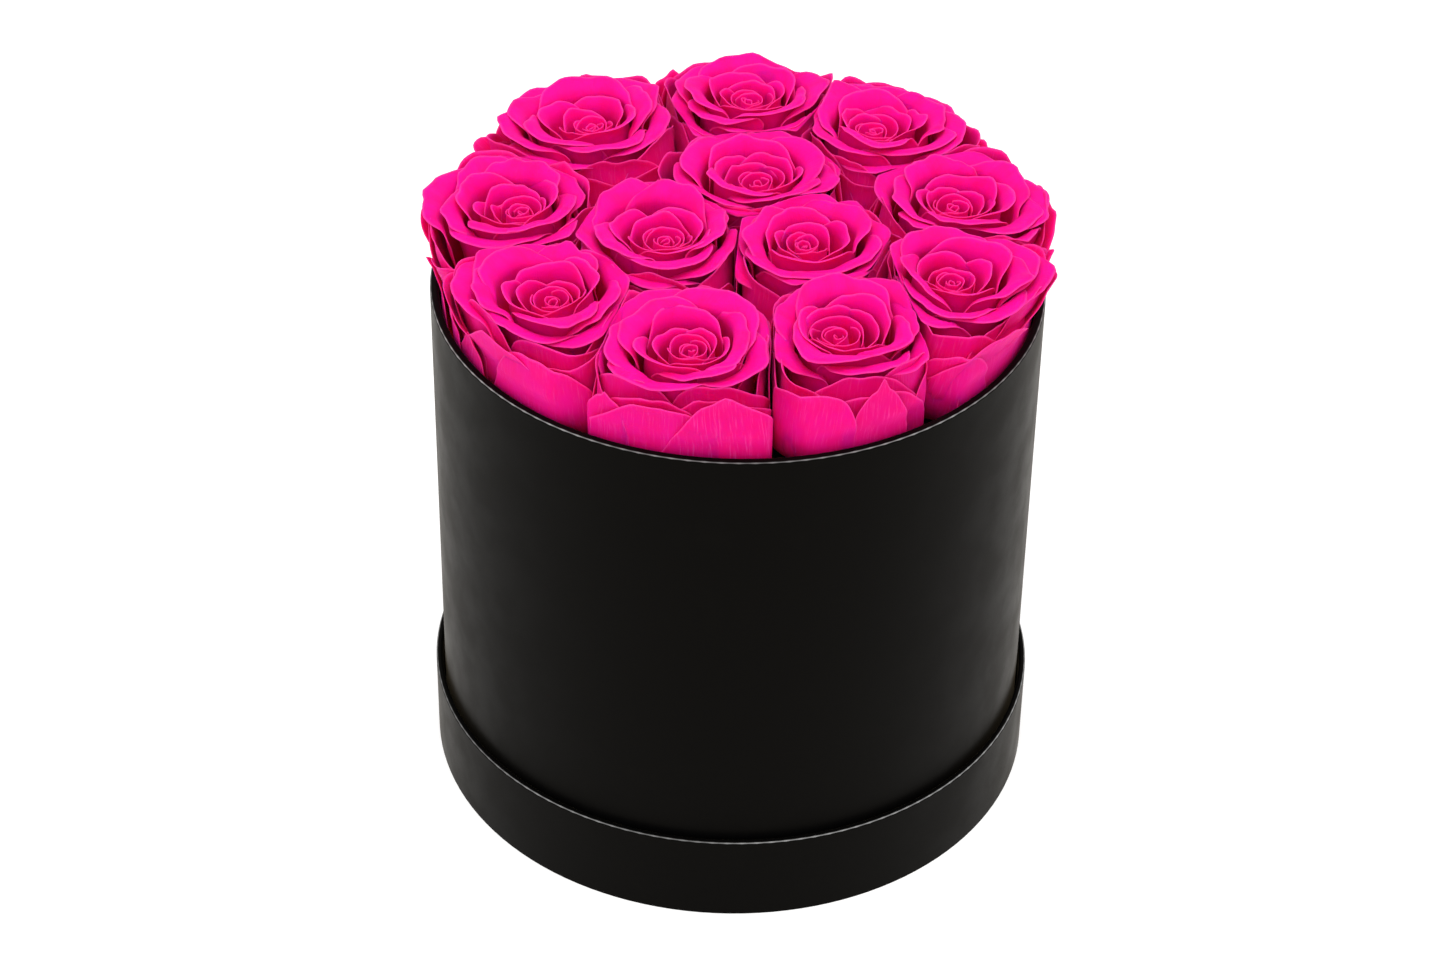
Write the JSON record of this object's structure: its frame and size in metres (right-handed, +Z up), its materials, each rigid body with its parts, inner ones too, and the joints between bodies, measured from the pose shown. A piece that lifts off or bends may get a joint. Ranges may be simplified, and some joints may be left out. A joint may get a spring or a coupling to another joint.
{
  "type": "round flower box",
  "caption": "Round board box packed with rose heads on picks in a foam block, standing in its own upturned lid as a base.",
  "frame": {"origin": "centre of the lid panel's outer face, on the surface that the arrangement stands on", "axes": "+Z up along the box's axis, -Y towards the viewer's side, +X to the viewer's right"},
  "size_m": [0.206, 0.2063, 0.2133],
  "materials": {
    "black_cover_paper": "satin black coated paper with a fine even grain",
    "black_lining_paper": "matte black uncoated paper",
    "greyboard": "matte recycled grey board",
    "floral_foam": "matte dark green dry floral foam, fine open cells",
    "petals": "velvety hot pink preserved rose petals, deep crimson in the folds",
    "calyx_green": "matte green sepals and stem",
    "pick_wood": "plain sanded wood"
  },
  "bodies": {
    "lid": {"lid_panel_sheet": "black_cover_paper", "lid_panel_board": "greyboard", "lid_rim_board": "greyboard", "lid_side_wrap": "black_cover_paper", "lid_lining": "black_lining_paper"},
    "box": {"box_bottom_sheet": "black_lining_paper", "box_base_board": "greyboard", "box_tube_board": "greyboard", "box_side_wrap": "black_cover_paper", "box_lining": "black_lining_paper", "support_ring": "greyboard", "platform": "greyboard", "foam_block": "floral_foam"},
    "rose_01": {"rose_01_head": "petals", "rose_01_calyx": "calyx_green", "rose_01_pick": "pick_wood"},
    "rose_02": {"rose_02_head": "petals", "rose_02_calyx": "calyx_green", "rose_02_pick": "pick_wood"},
    "rose_03": {"rose_03_head": "petals", "rose_03_calyx": "calyx_green", "rose_03_pick": "pick_wood"},
    "rose_04": {"rose_04_head": "petals", "rose_04_calyx": "calyx_green", "rose_04_pick": "pick_wood"},
    "rose_05": {"rose_05_head": "petals", "rose_05_calyx": "calyx_green", "rose_05_pick": "pick_wood"},
    "rose_06": {"rose_06_head": "petals", "rose_06_calyx": "calyx_green", "rose_06_pick": "pick_wood"},
    "rose_07": {"rose_07_head": "petals", "rose_07_calyx": "calyx_green", "rose_07_pick": "pick_wood"},
    "rose_08": {"rose_08_head": "petals", "rose_08_calyx": "calyx_green", "rose_08_pick": "pick_wood"},
    "rose_09": {"rose_09_head": "petals", "rose_09_calyx": "calyx_green", "rose_09_pick": "pick_wood"},
    "rose_10": {"rose_10_head": "petals", "rose_10_calyx": "calyx_green", "rose_10_pick": "pick_wood"},
    "rose_11": {"rose_11_head": "petals", "rose_11_calyx": "calyx_green", "rose_11_pick": "pick_wood"},
    "rose_12": {"rose_12_head": "petals", "rose_12_calyx": "calyx_green", "rose_12_pick": "pick_wood"}
  },
  "joints": [
    {"name": "box_lift", "type": "slide", "parent": "lid", "child": "box", "axis": [0, 0, 1], "range_m": [0, 0.06]},
    {"name": "rose_01_pull", "type": "slide", "parent": "box", "child": "rose_01", "axis": [-0.0931, 0.1034, 0.9903], "range_m": [0, 0.13]},
    {"name": "rose_02_pull", "type": "slide", "parent": "box", "child": "rose_02", "axis": [0.0049, 0.1391, 0.9903], "range_m": [0, 0.13]},
    {"name": "rose_03_pull", "type": "slide", "parent": "box", "child": "rose_03", "axis": [0.0895, 0.1066, 0.9903], "range_m": [0, 0.13]},
    {"name": "rose_04_pull", "type": "slide", "parent": "box", "child": "rose_04", "axis": [0.1371, 0.0242, 0.9903], "range_m": [0, 0.13]},
    {"name": "rose_05_pull", "type": "slide", "parent": "box", "child": "rose_05", "axis": [0.1261, -0.0588, 0.9903], "range_m": [0, 0.13]},
    {"name": "rose_06_pull", "type": "slide", "parent": "box", "child": "rose_06", "axis": [0.0696, -0.1205, 0.9903], "range_m": [0, 0.13]},
    {"name": "rose_07_pull", "type": "slide", "parent": "box", "child": "rose_07", "axis": [-0.0266, -0.1366, 0.9903], "range_m": [0, 0.13]},
    {"name": "rose_08_pull", "type": "slide", "parent": "box", "child": "rose_08", "axis": [-0.1111, -0.0838, 0.9903], "range_m": [0, 0.13]},
    {"name": "rose_09_pull", "type": "slide", "parent": "box", "child": "rose_09", "axis": [-0.1388, 0.0097, 0.9903], "range_m": [0, 0.13]},
    {"name": "rose_10_pull", "type": "slide", "parent": "box", "child": "rose_10", "axis": [0, 0, 1], "range_m": [0, 0.13]},
    {"name": "rose_11_pull", "type": "slide", "parent": "box", "child": "rose_11", "axis": [0, 0, 1], "range_m": [0, 0.13]},
    {"name": "rose_12_pull", "type": "slide", "parent": "box", "child": "rose_12", "axis": [0, 0, 1], "range_m": [0, 0.13]}
  ]
}
